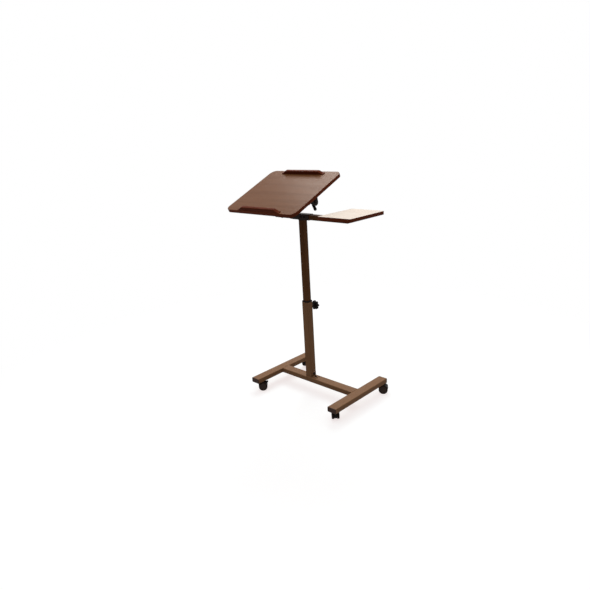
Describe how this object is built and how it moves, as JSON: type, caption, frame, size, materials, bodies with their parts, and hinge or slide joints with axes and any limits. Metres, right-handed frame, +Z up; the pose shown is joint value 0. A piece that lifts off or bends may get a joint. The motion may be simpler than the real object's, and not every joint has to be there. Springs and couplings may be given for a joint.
{
  "type": "laptop desk cart",
  "caption": "Rolling laptop stand with a tilting desk board, a fixed side table, a height-adjustable mast and an offset base on twin-wheel casters.",
  "frame": {"origin": "on the floor, under the middle of the whole outline as stored", "axes": "+Z up; front is -Y, where the user sits; +X to the user's right, towards the side table"},
  "size_m": [0.733, 0.4278, 1.127],
  "materials": {
    "bronze_paint": "fine textured bronze powder coat",
    "black_paint": "satin black powder coat",
    "black_plastic": "moulded black nylon, fine grain",
    "wheel_plastic": "hard black tread with a satin disc",
    "walnut_laminate": "light walnut melamine laminate, satin",
    "cream_laminate": "pale maple melamine laminate, satin",
    "dark_walnut": "dark red-brown lacquer",
    "zinc_steel": "zinc plated"
  },
  "bodies": {
    "base": {"foot_left": "bronze_paint", "foot_right": "bronze_paint", "crossbar": "bronze_paint", "foot_cap_fl": "black_plastic", "foot_cap_fr": "black_plastic", "foot_cap_bl": "black_plastic", "foot_cap_br": "black_plastic", "caster_stems": "zinc_steel", "caster_nuts": "zinc_steel", "lower_post": "bronze_paint", "post_collar": "black_plastic", "knob_nut": "bronze_paint", "post_bracket": "bronze_paint", "post_bolts": "black_paint"},
    "mast": {"upper_post": "bronze_paint", "post_glide": "black_plastic", "head_sleeve": "black_paint", "sleeve_screws": "black_paint", "top_bar": "bronze_paint", "bar_cap_left": "black_plastic", "bar_cap_right": "black_plastic", "side_board": "cream_laminate", "side_edge_band": "dark_walnut", "side_plate": "bronze_paint", "side_screws": "zinc_steel", "tilt_yoke": "bronze_paint", "yoke_bolts": "black_paint"},
    "desk": {"desk_board": "walnut_laminate", "desk_edge_band": "dark_walnut", "front_stop": "dark_walnut", "back_stop": "dark_walnut", "stop_screws": "zinc_steel", "desk_bracket_left": "black_paint", "desk_bracket_right": "black_paint", "clamp_bracket": "black_paint", "bracket_screws": "zinc_steel", "rod_nut": "black_paint"},
    "lever": {"tilt_rod": "black_paint", "tilt_lever": "black_paint", "lever_grip": "black_plastic"},
    "knob": {"knob_head": "black_plastic", "knob_stud": "zinc_steel"},
    "caster_fl": {"caster_hood_fl": "black_plastic", "wheel_axle_fl": "zinc_steel"},
    "wheel_fl_a": {"wheel_fl_a": "wheel_plastic"},
    "wheel_fl_b": {"wheel_fl_b": "wheel_plastic"},
    "brake_fl": {"brake_tab_fl": "black_plastic"},
    "caster_fr": {"caster_hood_fr": "black_plastic", "wheel_axle_fr": "zinc_steel"},
    "wheel_fr_a": {"wheel_fr_a": "wheel_plastic"},
    "wheel_fr_b": {"wheel_fr_b": "wheel_plastic"},
    "brake_fr": {"brake_tab_fr": "black_plastic"},
    "caster_bl": {"caster_hood_bl": "black_plastic", "wheel_axle_bl": "zinc_steel"},
    "wheel_bl_a": {"wheel_bl_a": "wheel_plastic"},
    "wheel_bl_b": {"wheel_bl_b": "wheel_plastic"},
    "caster_br": {"caster_hood_br": "black_plastic", "wheel_axle_br": "zinc_steel"},
    "wheel_br_a": {"wheel_br_a": "wheel_plastic"},
    "wheel_br_b": {"wheel_br_b": "wheel_plastic"}
  },
  "joints": [
    {"name": "height_slide", "type": "slide", "parent": "base", "child": "mast", "axis": [0, 0, 1], "range_m": [-0.31, 0.02]},
    {"name": "desk_tilt", "type": "hinge", "parent": "mast", "child": "desk", "pos_m": [-0.1315, -0.00692, 0.99352], "axis": [1, 0, 0], "range_deg": [-24, 11]},
    {"name": "tilt_lever_turn", "type": "hinge", "parent": "desk", "child": "lever", "pos_m": [0.0405, -0.00692, 0.99352], "axis": [1, 0, 0], "range_deg": [0, 85]},
    {"name": "height_knob_turn", "type": "hinge", "parent": "base", "child": "knob", "pos_m": [-0.0235, 0.01208, 0.4515], "axis": [0, 1, 0], "range_deg": [0, 720]},
    {"name": "swivel_fl", "type": "hinge", "parent": "base", "child": "caster_fl", "pos_m": [-0.2355, -0.18492, 0.0505], "axis": [0, 0, 1], "continuous": true},
    {"name": "roll_fl_a", "type": "hinge", "parent": "caster_fl", "child": "wheel_fl_a", "pos_m": [-0.21393, -0.18104, 0.023], "axis": [-0.7071, 0.7071, 0], "continuous": true},
    {"name": "roll_fl_b", "type": "hinge", "parent": "caster_fl", "child": "wheel_fl_b", "pos_m": [-0.23161, -0.16336, 0.023], "axis": [-0.7071, 0.7071, 0], "continuous": true},
    {"name": "brake_press_fl", "type": "hinge", "parent": "caster_fl", "child": "brake_fl", "pos_m": [-0.21301, -0.16244, 0.0368], "axis": [-0.7071, 0.7071, 0], "range_deg": [0, 12]},
    {"name": "swivel_fr", "type": "hinge", "parent": "base", "child": "caster_fr", "pos_m": [0.2895, -0.18492, 0.0505], "axis": [0, 0, 1], "continuous": true},
    {"name": "roll_fr_a", "type": "hinge", "parent": "caster_fr", "child": "wheel_fr_a", "pos_m": [0.28561, -0.16336, 0.023], "axis": [-0.7071, -0.7071, 0], "continuous": true},
    {"name": "roll_fr_b", "type": "hinge", "parent": "caster_fr", "child": "wheel_fr_b", "pos_m": [0.26793, -0.18104, 0.023], "axis": [-0.7071, -0.7071, 0], "continuous": true},
    {"name": "brake_press_fr", "type": "hinge", "parent": "caster_fr", "child": "brake_fr", "pos_m": [0.26701, -0.16244, 0.0368], "axis": [-0.7071, -0.7071, 0], "range_deg": [0, 12]},
    {"name": "swivel_bl", "type": "hinge", "parent": "base", "child": "caster_bl", "pos_m": [-0.2355, 0.17108, 0.0505], "axis": [0, 0, 1], "continuous": true},
    {"name": "roll_bl_a", "type": "hinge", "parent": "caster_bl", "child": "wheel_bl_a", "pos_m": [-0.22563, 0.19064, 0.023], "axis": [-0.9903, -0.1392, 0], "continuous": true},
    {"name": "roll_bl_b", "type": "hinge", "parent": "caster_bl", "child": "wheel_bl_b", "pos_m": [-0.25038, 0.18716, 0.023], "axis": [-0.9903, -0.1392, 0], "continuous": true},
    {"name": "swivel_br", "type": "hinge", "parent": "base", "child": "caster_br", "pos_m": [0.2895, 0.17108, 0.0505], "axis": [0, 0, 1], "continuous": true},
    {"name": "roll_br_a", "type": "hinge", "parent": "caster_br", "child": "wheel_br_a", "pos_m": [0.31134, 0.16925, 0.023], "axis": [-0.5, 0.866, 0], "continuous": true},
    {"name": "roll_br_b", "type": "hinge", "parent": "caster_br", "child": "wheel_br_b", "pos_m": [0.29884, 0.1909, 0.023], "axis": [-0.5, 0.866, 0], "continuous": true}
  ]
}
